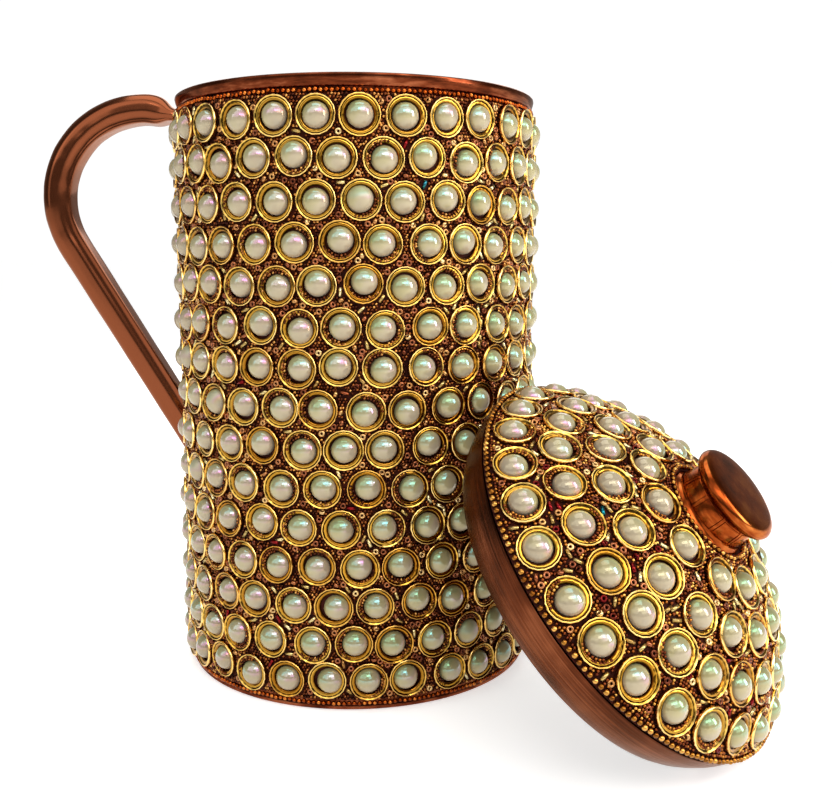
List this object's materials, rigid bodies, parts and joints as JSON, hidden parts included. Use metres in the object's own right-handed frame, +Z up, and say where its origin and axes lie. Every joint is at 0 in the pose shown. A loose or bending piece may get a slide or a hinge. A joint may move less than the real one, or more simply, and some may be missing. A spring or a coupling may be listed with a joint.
{
  "type": "water jug",
  "caption": "Cylindrical copper water jug with a tube handle, a domed lid leaning beside it, and a lac coat set with ring-mounted half pearls and beads.",
  "frame": {"origin": "centre of the jug's base on the surface it stands on", "axes": "+Z up along the jug's axis, handle on -X, lid leaning at the front right (+X, -Y)"},
  "size_m": [0.2346, 0.1912, 0.1925],
  "materials": {
    "copper": "polished copper, lightly tarnished",
    "dark_copper": "polished copper with a red-brown tarnish",
    "inner_copper": "satin copper, bare inside",
    "lac": "dark red-brown lac resin",
    "pearl": "iridescent pearl coating",
    "gilt_ring": "polished gilt metal",
    "ball_chain": "polished copper-coloured metal",
    "tiny_ball": "dark maroon-brown metallic",
    "seed_bead": "copper-gold metallic coated glass",
    "bugle": "pale gold and dark red coated glass tube"
  },
  "bodies": {
    "jug": {"jug_wall": "copper", "base_pan": "dark_copper", "handle": "copper", "lac_sleeve": "lac", "upper_ball_strand": "ball_chain", "lower_ball_strand": "ball_chain", "pearl_row_01": "pearl", "pearl_row_02": "pearl", "pearl_row_03": "pearl", "pearl_row_04": "pearl", "pearl_row_05": "pearl", "pearl_row_06": "pearl", "pearl_row_07": "pearl", "pearl_row_08": "pearl", "pearl_row_09": "pearl", "pearl_row_10": "pearl", "pearl_row_11": "pearl", "pearl_row_12": "pearl", "pearl_row_13": "pearl", "pearl_row_14": "pearl", "pearl_row_15": "pearl"},
    "lid": {"lid_dome": "copper", "lid_skirt": "copper", "lid_lac_layer": "lac", "lid_edge_strand": "ball_chain", "lid_knob_strand": "ball_chain", "lid_pearl_ring_1": "pearl", "lid_pearl_ring_2": "pearl", "lid_pearl_ring_3": "pearl", "lid_pearl_ring_4": "pearl", "knob": "dark_copper", "knob_rivet": "copper", "knob_washer": "dark_copper"}
  },
  "joints": [
    {"name": "lid_lift", "type": "slide", "parent": "jug", "child": "lid", "axis": [0.6276, -0.4527, 0.6334], "range_m": [0, 0.12]}
  ]
}
